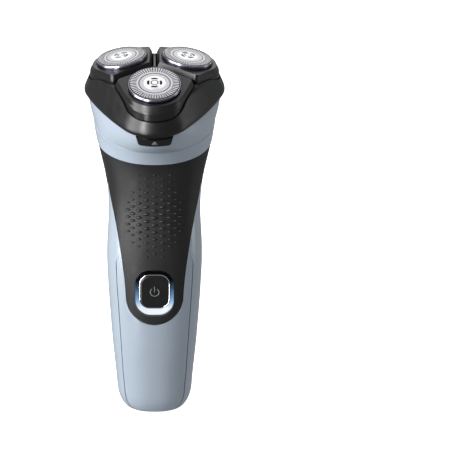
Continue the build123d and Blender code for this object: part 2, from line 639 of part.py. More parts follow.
def shaving_unit():
    dome = shell_dome()
    opening = pod_stem(POD_GAP, SHELL_FOOT - 1)
    opening += extrude(Pos(0, 0, POD_SEAM) * pod_seam(POD_GAP), FAR)

    # shell: dome less the three openings and the hair chamber under them
    chamber = triangle_loft(
        [(SHELL_FOOT - 1, SHELL_CORNER - SHELL_WALL - 0.2), (POD_FOOT - 0.6, 12.9)]
    )
    spider = Part()
    for angle in (90, 210, 330):
        spider += Rotation(0, 0, angle) * block(
            (0, POD_CORNER_REACH + 1.5),
            (-SPOKE_WIDTH / 2, SPOKE_WIDTH / 2),
            (POD_FOOT - 0.6, -1.4),
        )
    cone = turned_profile([(0, -20), (30, -20), (30, -6.9), (0, -1.4)])
    shell = dome
    for index in range(3):
        shell -= turned(opening, index)
    shell = shell - chamber + (spider & cone)
    # a pin on each side of a pod is carried in the shell's corner posts
    pins = Part()
    for index in range(3):
        for side in (-1, 1):
            low, high = sorted((side * POD_PIN_SPAN[0], side * POD_PIN_SPAN[1]))
            pin = rod_x(POD_PIN_RADIUS, low, high, -POD_HINGE_R, POD_HINGE_W)
            pins += turned(pin, index)
    shell = shell - pins
    # the hinge lug reaches down from the back rim between the collar's ears
    half = HINGE_SPAN / 2 - EAR_WIDTH - 0.2
    lug = block((-half, half), (HINGE_V - 1.3, HINGE_V + 0.7), (HINGE_W, -14.5))
    lug += rod_x(KNUCKLE_RADIUS, -half, half, HINGE_V, HINGE_W)
    lug -= rod_x(HINGE_RADIUS + RUNNING, -FAR, FAR, HINGE_V, HINGE_W)
    shell = shell + (lug - chamber)
    keep("unit_shell", in_unit(solid_of(shell)))
    keep("pod_pins", in_unit(pins))
    keep(
        "hinge_pin",
        in_unit(rod_x(HINGE_RADIUS, -HINGE_SPAN / 2, HINGE_SPAN / 2, HINGE_V, HINGE_W)),
    )

    # front pod, then its two copies
    plane = head_plane(0)
    pod = front_pod()
    bore = disc(GUARD_FLANGE_RADIUS + 0.2, -FAR, GUARD_FLANGE_TOP + RUNNING)
    bore += disc(GUARD_RADIUS + 0.22, -FAR, FAR)
    bore = plane.location * bore
    pin_bores = Part()
    for side in (-1, 1):
        low, high = sorted((side * (POD_PIN_SPAN[0] - 0.2), side * FAR))
        pin_bores += rod_x(
            POD_PIN_RADIUS + RUNNING, low, high, -POD_HINGE_R, POD_HINGE_W
        )
    pod = solid_of(pod - bore - pin_bores)
    for index in range(3):
        keep(f"pod_{index}", in_unit(turned(pod, index)))


def cutting_heads():
    skin, foot = GUARD_SKIN, GUARD_FOOT
    guard = turned_profile(
        [
            (BADGE_RADIUS + 0.02, 0.0),
            (5.6, 0.05),
            (6.2, -0.2),
            (TRACK_INNER, 0.0),
            (TRACK_OUTER - 0.2, 0.0),
            (GUARD_RADIUS - 0.35, -0.3),
            (GUARD_RADIUS, -0.95),
            (GUARD_RADIUS, GUARD_FLANGE_TOP),
            (GUARD_FLANGE_RADIUS, GUARD_FLANGE_TOP),
            (GUARD_FLANGE_RADIUS, GUARD_FLANGE_FOOT),
            (GUARD_RADIUS - 0.1, GUARD_FLANGE_FOOT),
            (GUARD_RADIUS - 0.1, foot),
            (GUARD_RADIUS - 0.7, foot),
            (GUARD_RADIUS - 0.5, -1.1),
            (TRACK_OUTER - 0.1, -skin),
            (TRACK_INNER - 0.1, -skin),
            (6.2, -skin - 0.15),
            (BADGE_RADIUS + 0.02, -skin - 0.15),
        ]
    )
    slot = block(
        (TRACK_INNER + 0.5, TRACK_OUTER + 0.45),
        (-GUARD_SLOT_WIDTH / 2, GUARD_SLOT_WIDTH / 2),
        (-0.95, 1),
    )
    slots = [Rotation(0, 0, 360 / GUARD_SLOTS * k) * slot for k in range(GUARD_SLOTS)]
    guard = guard.cut(*slots)

    badge = turned_profile(
        [
            (0, 0.32), (BADGE_GROOVE[0], 0.3), (BADGE_GROOVE[0], BADGE_FLOOR),
            (BADGE_GROOVE[1], BADGE_FLOOR), (BADGE_GROOVE[1], 0.3), (3.4, 0.24),
            (BADGE_RADIUS, 0.02), (BADGE_RADIUS, -0.5), (0, -0.5),
        ]
    )
    # four curved pockets round the ring groove
    petal = extrude(
        Pos(0, 0, BADGE_FLOOR) * SlotArc(CenterArc((0, 0), 2.6, -20, 40), 1.0), 1.0
    )
    for k in range(4):
        badge -= Rotation(0, 0, 90 * k) * petal

    blade = block(
        (7.0, 9.5), (-BLADE_THICKNESS / 2, BLADE_THICKNESS / 2),
        (CUTTER_FLOOR + 0.3, -GUARD_SKIN - CUTTER_GAP),
    )
    cutter = tube(9.6, 6.7, CUTTER_FLOOR, CUTTER_FLOOR + 0.6)
    for k in range(CUTTER_BLADES):
        cutter += Rotation(0, 0, 360 / CUTTER_BLADES * k) * blade

    hub = disc(6.65, HUB_FLOOR, CUTTER_FLOOR) + tube(6.65, 5.2, CUTTER_FLOOR, -2.6)
    hub += disc(9.4, HUB_FLOOR, CUTTER_FLOOR) - disc(6.6, -FAR, FAR)
    hub += disc(HUB_BOSS_RADIUS, HUB_FOOT, HUB_FLOOR)
    hub -= block(
        (-HUB_BOSS_RADIUS, HUB_BOSS_RADIUS),
        (-SLOT_WIDTH / 2, SLOT_WIDTH / 2),
        (HUB_FOOT - 1, SLOT_TOP),
    )

    retainer = tube(
        GUARD_FLANGE_RADIUS + 0.2, RETAINER_INNER, RETAINER_FOOT, RETAINER_TOP
    )
    for index in range(3):
        # at rest every drive slot lines up with the way the unit swings open
        line_up = Rotation(0, 0, HEAD_ANGLES[0] - HEAD_ANGLES[index])
        keep(f"guard_{index}", in_head(index, guard))
        keep(f"guard_badge_{index}", in_head(index, badge))
        keep(f"cutter_{index}", in_head(index, cutter))
        keep(f"cutter_hub_{index}", in_head(index, line_up * hub))
        keep(f"head_retainer_{index}", in_head(index, retainer))


# ---------------------------------------------------------------- transmission
GEAR_CIRCLE = MODULE * (PINION_TEETH + GEAR_TEETH) / 2
SPINDLE_PIVOT = -(HEAD_CIRCLE - GEAR_CIRCLE) / math.tan(math.radians(CANT))


def gear_centre(index):
    a = math.radians(HEAD_ANGLES[index])
    return Pos(GEAR_CIRCLE * math.cos(a), GEAR_CIRCLE * math.sin(a), 0)


def transmission():
    gear = extrude(
        Pos(0, 0, GEAR_FOOT) * gear_face(GEAR_TEETH, 90 + 180 / GEAR_TEETH),
        GEAR_TOP - GEAR_FOOT,
    )
    gear += disc(GEAR_HUB_RADIUS, GEAR_HUB_FOOT, GEAR_TOP)
    gear -= disc(GEAR_CUP_RADIUS, GEAR_CUP_FLOOR, 0)
    gear -= disc(AXLE_RADIUS + RUNNING, -FAR, GEAR_CUP_FLOOR - 0.6)
    for k in range(6):
        gear -= Rotation(0, 0, 60 * k) * (Pos(6.0, 0, 0) * disc(1.3, -FAR, 0))
    # slots across the cup drive the spindle's cross pin
    cup_slot = disc(CROSS_PIN_HALF + 0.25, GEAR_CUP_FLOOR, 0) & block(
        (-CROSS_PIN_RADIUS - 0.2, CROSS_PIN_RADIUS + 0.2), (-FAR, FAR), (-FAR, 0)
    )

    # canted spindle: ball foot and cross pin in the gear's cup, tongue in the hub
    reach = math.hypot(HEAD_CIRCLE - GEAR_CIRCLE, SPINDLE_PIVOT)
    spindle = Pos(0, 0, -reach) * Sphere(SPINDLE_BALL)
    spindle += disc(SPINDLE_RADIUS, -reach, TONGUE_FOOT)
    spindle += disc(SPINDLE_COLLAR, TONGUE_FOOT - 0.6, TONGUE_FOOT)
    spindle += Pos(0, 0, -reach) * (
        Rotation(0, 90, 0) * Cylinder(CROSS_PIN_RADIUS, 2 * CROSS_PIN_HALF)
    )
    spindle += block(
        (-1.5, 1.5),
        (-TONGUE_THICKNESS / 2, TONGUE_THICKNESS / 2),
        (TONGUE_FOOT, TONGUE_TOP),
    )
    spring = helix_spring(
        SPRING_RADIUS, SPRING_WIRE, 1.3, COLLAR_TOP + 1.0, TONGUE_FOOT - 0.6 - SPRING_WIRE
    )
    pinion = extrude(
        Pos(0, 0, GEAR_FOOT - 0.3) * gear_face(PINION_TEETH, HEAD_ANGLES[0]),
        GEAR_TOP - GEAR_FOOT + 0.6,
    )
    pinion -= disc(SHAFT_RADIUS, -FAR, 0)
    motor_top = PLATE_TOP - PLATE_THICKNESS
    shaft = disc(SHAFT_RADIUS, motor_top - MOTOR_LENGTH / 2, GEAR_TOP + 0.3)
    keep("motor_pinion", in_unit(pinion))
    keep("motor_shaft", in_unit(shaft))
    for index in range(3):
        angle = HEAD_ANGLES[index] - HEAD_ANGLES[0]
        wheel = turned(gear_centre(0) * gear, index) - gear_centre(index) * cup_slot
        keep(f"drive_gear_{index}", in_unit(wheel))
        line_up = Rotation(0, 0, -angle)
        keep(f"spindle_{index}", in_head(index, line_up * spindle))
        keep(f"spindle_spring_{index}", in_head(index, spring))

    # plates over and under the gears, held apart by three pillars
    inside = collar_loft(WALL + FIT, COLLAR_STEP - 1, COLLAR_TOP + 1)
    wide = (-FAR, FAR)
    deck = inside & in_unit(block(wide, wide, (COLLAR_TOP - DECK_THICKNESS, COLLAR_TOP)))
    plate = inside & in_unit(block(wide, wide, (motor_top, PLATE_TOP)))
    spring_seat = RELEASE_SEAT
    tab = block((-3, 3), (spring_seat, spring_seat + 0.8), (COLLAR_TOP - 5, COLLAR_TOP - 1))
    notch = block((-9.6, 9.6), (-FAR, spring_seat), wide)
    notch += block((-HINGE_SPAN / 2, HINGE_SPAN / 2), (HINGE_V - 3.8, FAR), wide)
    pillars = Part()
    for angle in (90, 210, 330):
        a = math.radians(angle)
        place = Pos(PILLAR_CIRCLE * math.cos(a), PILLAR_CIRCLE * math.sin(a), 0)
        pillars += place * disc(PILLAR_RADIUS, PLATE_TOP, COLLAR_TOP - DECK_THICKNESS)
    holes = Part()
    axles = Part()
    seals = Part()
    middle = COLLAR_TOP - DECK_THICKNESS / 2
    for index in range(3):
        a = math.radians(HEAD_ANGLES[index])
        r = HEAD_CIRCLE + middle * math.tan(math.radians(CANT))
        place = Pos(r * math.cos(a), r * math.sin(a), 0)
        holes += place * disc(SEAL_RADIUS, -FAR, 0)
        ring = disc(SEAL_RADIUS, COLLAR_TOP - DECK_THICKNESS, COLLAR_TOP)
        ring += disc(SEAL_RADIUS + 0.6, COLLAR_TOP, COLLAR_TOP + 0.35)
        seals += place * (ring - disc(SEAL_BORE, -FAR, 0))
        axle = disc(AXLE_RADIUS, motor_top, GEAR_CUP_FLOOR - 0.8)
        axle += disc(AXLE_RADIUS + 0.8, PLATE_TOP, GEAR_HUB_FOOT - RUNNING)
        axles += gear_centre(index) * axle
    deck = deck - in_unit(notch) + in_unit(tab) - in_unit(holes)
    keep("deck_plate", solid_of(deck))
    keep("deck_seals", in_unit(seals))
    plate = plate + in_unit(pillars) - in_unit(disc(SHAFT_RADIUS + 0.4, -FAR, 0))
    for index in range(3):
        hole = gear_centre(index) * disc(AXLE_RADIUS, -FAR, PLATE_TOP)
        plate -= in_unit(hole)
    keep("gear_plate", solid_of(plate))
    keep("gear_axles", in_unit(axles))
    motor = disc(MOTOR_RADIUS, motor_top - MOTOR_LENGTH, motor_top)
    motor = chamfer(motor.edges(), 0.6)
    motor += disc(3.0, motor_top - MOTOR_LENGTH - 1.5, motor_top - MOTOR_LENGTH)
    bore = disc(SHAFT_RADIUS + RUNNING, motor_top - MOTOR_LENGTH / 2 - RUNNING, 0)
    keep("motor_can", in_unit(motor - bore))


def helix_spring(radius, wire, pitch, low, high):
    path = Helix(pitch, high - low, radius)
    start = Plane(origin=path @ 0, z_dir=path % 0)
    return Pos(0, 0, low) * sweep(start * Circle(wire), path)


# ---------------------------------------------------------------- front controls
def release_button():
    """Push button in the front of the collar, and the spring behind it."""
    ring = collar_loft(0) - collar_loft(WALL + 0.4, COLLAR_STEP - 1, COLLAR_TOP + 1)
    # its top edge is set back, which leaves a thumb groove under the shell
    step = collar_loft(-1, COLLAR_STEP - 1, COLLAR_TOP + 1) - collar_loft(RELEASE_GROOVE[0])
    groove = in_unit(
        block((-FAR, FAR), (-FAR, FAR), (COLLAR_TOP - RELEASE_GROOVE[1], FAR))
    )
    button = (release_prism(0, COLLAR_TOP) & ring) - (step & groove)
    keep("release_button", solid_of(button))
    _, _, front, _, _ = COLLAR_TOP_STATION
    gap = front - (WALL + 0.4) + RELEASE_SEAT
    coil = helix_spring(1.1, 0.15, 0.55, 0.15, gap - 0.45)
    spring = Pos(0, RELEASE_SEAT, COLLAR_TOP - 2.6) * (Rotation(90, 0, 0) * coil)
    keep("release_spring", in_unit(spring))


def power_button():
    """Button, its bright edge, the light ring round it and the switch behind it."""
    face = -HANDLE_STATIONS[3][2]
    wall = face + WALL
    at_button, at_recess = Pos(0, BUTTON_HEIGHT), Pos(0, RECESS_HEIGHT)

    def button_block(grow, near, far):
        shape = rounded(
            BUTTON_WIDTH + 2 * grow, BUTTON_LENGTH + 2 * grow, BUTTON_CORNER + grow
        )
        return front_prism(at_button * shape, near, far)

    ring_back = wall + 2.4
    bezel = rounded(RECESS_WIDTH + 2.6, RECESS_LENGTH + 2.6, RECESS_CORNER + 1.3)
    ring = front_prism(at_recess * bezel, face, ring_back) & handle_loft(WALL + 0.05)
    throat = TRIM_WALL + 0.25
    mouth = at_recess * rounded(RECESS_WIDTH, RECESS_LENGTH, RECESS_CORNER)
    inner = at_button * rounded(
        BUTTON_WIDTH + 2 * throat, BUTTON_LENGTH + 2 * throat, BUTTON_CORNER + throat
    )

    def drawn(shape, y):
        return Plane(origin=(0, y, 0), x_dir=(1, 0, 0), z_dir=(0, -1, 0)) * shape

    funnel = loft([drawn(mouth, face), drawn(mouth, wall), drawn(inner, wall + 1.6)], ruled=True)
    ring = ring - funnel - button_block(throat, face, 0)
    keep("light_ring", solid_of(ring))

    button = button_block(0, face + 0.35, ring_back + 0.3)
    front_rim = [e for e in button.edges() if abs(e.center().Y - face - 0.35) < 0.01]
    button = fillet(front_rim, 0.7)
    flange = button_block(throat + 0.6, ring_back + 0.3, ring_back + 1.0)
    rest = BOARD_FACE - SWITCH_BODY_HEIGHT - BUTTON_TRAVEL - 0.2
    button += flange + rod_y(1.5, ring_back + 1.0, rest, 0, BUTTON_HEIGHT)
    keep("power_button", solid_of(button))
    trim = button_block(TRIM_WALL, face + 0.75, wall + 0.9) - button_block(0, -FAR, 0)
    keep("power_button_trim", trim)
    low = BOARD_FACE - SWITCH_BODY_HEIGHT
    half = SWITCH_BODY / 2
    switch = block(
        (-half, half), (low + 0.4, BOARD_FACE), (BUTTON_HEIGHT - half, BUTTON_HEIGHT + half)
    )
    keep("power_switch", switch + rod_y(1.6, low, low + 0.5, 0, BUTTON_HEIGHT))


# ---------------------------------------------------------------- inside the handle
def inside():
    cell_foot = FRAME_FOOT + FRAME_WALL + CONTACT_LENGTH
    cell_top = cell_foot + CELL_LENGTH
    frame_top = cell_top + CONTACT_LENGTH + FRAME_WALL
    wide = (-FAR, FAR)
    behind_board = (BOARD_FACE + BOARD_THICKNESS, FAR)
    frame = block(wide, behind_board, (FRAME_FOOT, FRAME_FOOT + FRAME_WALL))
    frame += block(wide, behind_board, (frame_top - FRAME_WALL, frame_top))
    frame = frame & handle_loft(WALL + FIT)
    for side in (-1, 1):
        low, high = sorted((side * FRAME_HALF, side * (FRAME_HALF + FRAME_WALL)))
        frame += block((low, high), (BOARD_FACE - 0.4, BOSS_END), (FRAME_FOOT, frame_top))
    for x, z in boss_places():
        low, high = sorted((math.copysign(FRAME_HALF, x), math.copysign(BOSS_X, x)))
        tab = block((low, high), (BOSS_END - 1.6, BOSS_END), (z - BOSS_RADIUS, z + BOSS_RADIUS))
        frame += tab + rod_y(BOSS_RADIUS, BOSS_END - 1.6, BOSS_END, x, z)
    screws = Part()
    for x, z in boss_places():
        frame -= rod_y(SCREW_RADIUS, -FAR, FAR, x, z)
        head = rod_y(SCREW_HEAD, BOSS_END - 3.0, BOSS_END - 1.6, x, z)
        recess = rod_y(0.8, BOSS_END - 3.1, BOSS_END - 2.2, x, z)
        shank = rod_y(SCREW_RADIUS, BOSS_END - 1.7, BOSS_END + SCREW_LENGTH - 0.5, x, z)
        screws += head - recess + shank
    wires = Pos(0, 3, 0) * disc(3.0, frame_top - 3, frame_top + 1)
    keep("inner_frame", solid_of(frame - wires))
    keep("frame_screws", screws)

    cell = Pos(0, CELL_Y, 0) * disc(CELL_RADIUS, cell_foot, cell_top)
    keep("battery_cell", fillet(cell.edges(), 0.6))
    contacts = tube(4.0, 3.2, FRAME_FOOT + FRAME_WALL, cell_foot)
    contacts += tube(4.0, 3.2, cell_top, cell_top + CONTACT_LENGTH)
    keep("battery_contacts", Pos(0, CELL_Y, 0) * contacts)

    board = block(
        (-FRAME_HALF, FRAME_HALF),
        (BOARD_FACE, BOARD_FACE + BOARD_THICKNESS),
        (FRAME_FOOT + FRAME_WALL, FRAME_FOOT + FRAME_WALL + BOARD_LENGTH),
    )
    keep("circuit_board", board)

    top = INLET_LENGTH + INLET_WALL
    reach = INLET_WIDTH / 2 + INLET_WALL + INLET_FLANGE
    socket = inlet_block(INLET_WALL, 0.3, top)
    socket += block(
        (-reach, reach),
        (INLET_Y - INLET_DEPTH / 2, INLET_Y + INLET_DEPTH / 2),
        (WALL, WALL + 1.2),
    )
    cavity = inlet_block(0, -1, INLET_LENGTH)
    socket -= fillet(cavity.edges().filter_by(Axis.Z), 1.2)
    pins = Part()
    for side in (-1, 1):
        pin = disc(INLET_PIN_RADIUS, INLET_LENGTH - INLET_PIN_LENGTH, top + 1.5)
        pins += Pos(side * INLET_PIN_SPACING / 2, INLET_Y, 0) * pin
    keep("charging_socket", socket - pins)
    keep("socket_pins", pins)


def main():
    os.makedirs("parts", exist_ok=True)
    casing()
    collar()
    trimmer()
    shaving_unit()
    cutting_heads()
    transmission()
    release_button()
    power_button()
    inside()
    for name, shape in NODES.items():
        export_step(shape, f"parts/{name}.step")


main()
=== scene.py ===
"""Looks of a rotary electric shaver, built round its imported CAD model.

Metres throughout. +Z runs up the handle, -Y is the front, and every piece rides on a CAD body.
"""

import json
import math

import bmesh
import bpy
from mathutils import Matrix, Vector
from mathutils.bvhtree import BVHTree


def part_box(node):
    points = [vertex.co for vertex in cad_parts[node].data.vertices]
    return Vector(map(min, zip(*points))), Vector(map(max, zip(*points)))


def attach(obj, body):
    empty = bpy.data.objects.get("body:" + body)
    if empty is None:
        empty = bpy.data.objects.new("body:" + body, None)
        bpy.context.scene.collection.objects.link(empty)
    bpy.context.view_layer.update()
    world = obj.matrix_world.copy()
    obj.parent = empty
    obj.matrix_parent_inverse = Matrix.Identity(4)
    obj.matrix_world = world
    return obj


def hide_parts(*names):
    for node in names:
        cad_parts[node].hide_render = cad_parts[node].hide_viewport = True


MM = 0.001
HEADS = range(3)
SHAVING_SURFACE = 4 * MM  # shaving surface above the point that each cutter's joint gives
IN_FRONT = -0.2  # y that lines aimed at the object's front start from

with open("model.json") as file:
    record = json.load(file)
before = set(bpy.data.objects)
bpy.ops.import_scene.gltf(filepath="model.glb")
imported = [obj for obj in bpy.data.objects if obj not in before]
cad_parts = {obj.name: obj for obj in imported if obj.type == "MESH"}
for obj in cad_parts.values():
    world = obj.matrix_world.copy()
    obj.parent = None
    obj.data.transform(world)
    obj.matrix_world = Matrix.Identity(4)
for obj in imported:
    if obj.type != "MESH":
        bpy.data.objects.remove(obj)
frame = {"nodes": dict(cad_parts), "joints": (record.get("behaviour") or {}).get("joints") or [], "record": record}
NODES = frame["nodes"]
JOINTS = {joint["name"]: joint for joint in frame["joints"]}
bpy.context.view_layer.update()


# ---------------------------------------------------------------- material building
NOISE_LOW, NOISE_HIGH = 0.3, 0.7  # where nearly all of a noise texture's values lie
NOISE_ROUGHNESS = 0.55


class Shader:
    """A node material that starts as a Principled shader with its constants set."""

    def __init__(self, name, colour, roughness, metallic=0.0, **sockets):
        self.material = bpy.data.materials.new(name)
        self.material.use_nodes = True
        self.tree = self.material.node_tree
        self.surface = self.tree.nodes["Principled BSDF"]
        self.surface.inputs["Base Color"].default_value = (*colour, 1.0)
        self.surface.inputs["Roughness"].default_value = roughness
        self.surface.inputs["Metallic"].default_value = metallic
        for socket, value in sockets.items():
            self.surface.inputs[socket.replace("_", " ")].default_value = value
        self.place = self.node("ShaderNodeTexCoord").outputs["Object"]

    def node(self, kind, **settings):
        made = self.tree.nodes.new(kind)
        for key, value in settings.items():
            setattr(made, key, value)
        return made

    def link(self, output, target):
        self.tree.links.new(output, target)

    def maths(self, operation, *values):
        made = self.node("ShaderNodeMath", operation=operation)
        for socket, value in zip(made.inputs, values):
            if isinstance(value, (int, float)):
                socket.default_value = value
            else:
                self.link(value, socket)
        return made.outputs[0]

    def noise(self, scale, detail, vector=None):
        made = self.node("ShaderNodeTexNoise")
        made.inputs["Scale"].default_value = scale
        made.inputs["Detail"].default_value = detail
        made.inputs["Roughness"].default_value = NOISE_ROUGHNESS
        self.link(self.place if vector is None else vector, made.inputs["Vector"])
        return made.outputs["Fac"]

    def ramp(self, value, stops):
        """Colours along a value, from (position, (r, g, b)) stops."""
        made = self.node("ShaderNodeValToRGB")
        elements = made.color_ramp.elements
        while len(elements) < len(stops):
            elements.new(0.5)
        for element, (position, colour) in zip(elements, stops):
            element.position = position
            element.color = (*colour, 1.0)
        self.link(value, made.inputs["Fac"])
        return made.outputs["Color"]

    def tones(self, noise, dark, light):
        """Colours from dark to light over a noise's usual values."""
        return self.ramp(noise, [(NOISE_LOW, dark), (NOISE_HIGH, light)])

    def spread(self, noise, low, high):
        """Numbers from low to high over a noise's usual values."""
        made = self.node("ShaderNodeMapRange")
        made.inputs["From Min"].default_value = NOISE_LOW
        made.inputs["From Max"].default_value = NOISE_HIGH
        made.inputs["To Min"].default_value = low
        made.inputs["To Max"].default_value = high
        self.link(noise, made.inputs["Value"])
        return made.outputs["Result"]

    def bump(self, height, distance):
        made = self.node("ShaderNodeBump")
        made.inputs["Distance"].default_value = distance
        made.inputs["Strength"].default_value = 1.0
        self.link(height, made.inputs["Height"])
        self.link(made.outputs["Normal"], self.surface.inputs["Normal"])


def shade(colour, factor):
    return tuple(min(1.0, channel * factor) for channel in colour)


def moulded(
    name, colour, roughness, grain=0.35, depth=0.012, tint=0.06, rub=0.05, **sockets
):
    """Moulded plastic or rubber: fine spark-eroded grain and slight mottling."""
    look = Shader(name, colour, roughness, **sockets)
    mottled = look.tones(look.noise(45, 2), shade(colour, 1 - tint), shade(colour, 1 + tint))
    look.link(mottled, look.surface.inputs["Base Color"])
    wear = look.spread(look.noise(260, 4), roughness - rub, roughness + rub)
    look.link(wear, look.surface.inputs["Roughness"])
    look.bump(look.noise(1 / (grain * MM), 2), depth * MM)
    return look.material


def brushed(name, colour, roughness):
    """Machined metal with fine level lines."""
    look = Shader(name, colour, roughness, metallic=1.0)
    mapping = look.node("ShaderNodeMapping")
    mapping.inputs["Scale"].default_value = (1, 1, 30)
    look.link(look.place, mapping.inputs["Vector"])
    lines = look.noise(90, 4, mapping.outputs["Vector"])
    streaks = look.tones(lines, shade(colour, 0.85), shade(colour, 1.08))
    look.link(streaks, look.surface.inputs["Base Color"])
    worn = look.spread(lines, roughness * 0.75, roughness * 1.3)
    look.link(worn, look.surface.inputs["Roughness"])
    look.bump(lines, 0.004 * MM)
    return look.material


def head_frame(index):
    """Matrix from a head's own frame, z up its axis from the shaving surface."""
    joint = JOINTS[f"cutter_spin_{index}"]
    up = Vector(joint["axis"]).normalized()
    across = Vector((1, 0, 0))
    across = (across - up * across.dot(up)).normalized()
    origin = Vector(joint["pos_m"]) + up * SHAVING_SURFACE
    turn = Matrix((across, up.cross(across), up)).transposed().to_4x4()
    return Matrix.Translation(origin) @ turn


def in_head(look, index):
    """Radius, angle and height of a shading point in a head's own frame."""
    placed = head_frame(index)
    mapping = look.node("ShaderNodeMapping", vector_type="TEXTURE")
    mapping.inputs["Location"].default_value = placed.translation
    mapping.inputs["Rotation"].default_value = placed.to_euler()
    look.link(look.place, mapping.inputs["Vector"])
    split = look.node("ShaderNodeSeparateXYZ")
    look.link(mapping.outputs["Vector"], split.inputs[0])
    x, y, z = split.outputs
    squares = look.maths("ADD", look.maths("MULTIPLY", x, x), look.maths("MULTIPLY", y, y))
    return look.maths("SQRT", squares), look.maths("ARCTAN2", y, x), z


STEEL_REACH = 12 * MM  # radius that the colour zones run to
TURNING_MARKS = (9000, 1.5, 3000)  # how fast marks change along radius, angle and height
# Painted shade: near black laid in pockets, for the shadow down in the guards' slots and the badges' holes.
POCKET_PAINTED_SHADE = (0.012, 0.012, 0.014, 1)


def turned_steel(name, index, zones, roughness, pocket, rim):
    """Turned steel coloured by (radius in mm, colour) zones, with near-black painted shade in pockets inside the
    rim.

    A pocket is what lies lower than the pocket depth and nearer the axis than the rim, in mm; the painted shade
    there stands for the shadow down in slots and holes.
    """
    look = Shader(name, zones[0][1], roughness, metallic=1.0)
    radius, angle, height = in_head(look, index)
    stops = [(r * MM / STEEL_REACH, colour) for r, colour in zones]
    colours = look.ramp(look.maths("DIVIDE", radius, STEEL_REACH), stops)
    join = look.node("ShaderNodeCombineXYZ")
    for value, rate, socket in zip((radius, angle, height), TURNING_MARKS, join.inputs):
        look.link(look.maths("MULTIPLY", value, rate), socket)
    marks = look.noise(1.0, 3, join.outputs[0])
    mix = look.node("ShaderNodeMix", data_type="RGBA", blend_type="MULTIPLY")
    mix.inputs["Factor"].default_value = 1.0
    look.link(colours, mix.inputs["A"])
    look.link(look.tones(marks, (0.72, 0.72, 0.74), (1.0, 1.0, 1.0)), mix.inputs["B"])
    # Painted shade: points below the pocket depth and inside the rim turn near black.
    inside = look.maths("LESS_THAN", radius, rim * MM)
    painted_shade_mask = look.maths("MULTIPLY", inside, look.maths("LESS_THAN", height, pocket * MM))
    paint_shade = look.node("ShaderNodeMix", data_type="RGBA")
    look.link(painted_shade_mask, paint_shade.inputs["Factor"])
    look.link(mix.outputs["Result"], paint_shade.inputs["A"])
    paint_shade.inputs["B"].default_value = POCKET_PAINTED_SHADE
    look.link(paint_shade.outputs["Result"], look.surface.inputs["Base Color"])
    worn = look.spread(marks, roughness * 0.8, roughness * 1.25)
    look.link(worn, look.surface.inputs["Roughness"])
    look.bump(marks, 0.006 * MM)
    return look.material


def lit_ring(name):
    """Clear ring lit from below: white at its foot, blue up its sides, dark at the top."""
    low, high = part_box("light_ring")
    look = Shader(name, (0.02, 0.025, 0.03), 0.25)
    split = look.node("ShaderNodeSeparateXYZ")
    look.link(look.place, split.inputs[0])
    rise = look.maths("DIVIDE", look.maths("SUBTRACT", split.outputs[2], low.z), high.z - low.z)
    haze = look.maths("MULTIPLY", look.noise(400, 2), 0.04)
    glow = look.ramp(
        look.maths("ADD", rise, haze),
        [
            (0.0, (1.0, 1.0, 1.0)),
            (0.20, (0.80, 0.90, 1.0)),
            (0.34, (0.22, 0.42, 0.72)),
            (0.58, (0.03, 0.07, 0.14)),
            (0.72, (0.0, 0.0, 0.0)),
        ],
    )
    look.link(glow, look.surface.inputs["Emission Color"])
    look.surface.inputs["Emission Strength"].default_value = 0.95
    return look.material


def circuit(name):
    """Green board with fine copper tracks under the solder mask."""
    green = (0.01, 0.09, 0.04)
    look = Shader(name, green, 0.35)
    brick = look.node("ShaderNodeTexBrick")
    brick.inputs["Scale"].default_value = 260
    brick.inputs["Color1"].default_value = (*green, 1)
    brick.inputs["Color2"].default_value = (0.012, 0.12, 0.05, 1)
    brick.inputs["Mortar"].default_value = (0.03, 0.2, 0.08, 1)
    look.link(look.place, brick.inputs["Vector"])
    look.link(brick.outputs["Color"], look.surface.inputs["Base Color"])
    look.bump(look.noise(600, 2), 0.01 * MM)
    return look.material


BLUE = (0.45, 0.525, 0.61)
BLACK = (0.007, 0.007, 0.0075)
GUARD_ZONES = [
    (0.0, (0.62, 0.62, 0.63)),
    (5.9, (0.52, 0.52, 0.53)),
    (6.1, (0.14, 0.14, 0.15)),
    (6.5, (0.22, 0.22, 0.23)),
    (6.7, (0.62, 0.62, 0.64)),
    (9.5, (0.74, 0.74, 0.76)),
    (10.2, (0.66, 0.66, 0.70)),
    (10.5, (0.20, 0.19, 0.24)),
    (10.8, (0.16, 0.15, 0.20)),
]
BADGE_ZONES = [(0.0, (0.93, 0.93, 0.93)), (4.3, (0.93, 0.93, 0.93)), (4.6, (0.55, 0.55, 0.56))]
HEAD_SLOTS = ("guard_steel", "badge_chrome")  # slots whose material differs from head to head


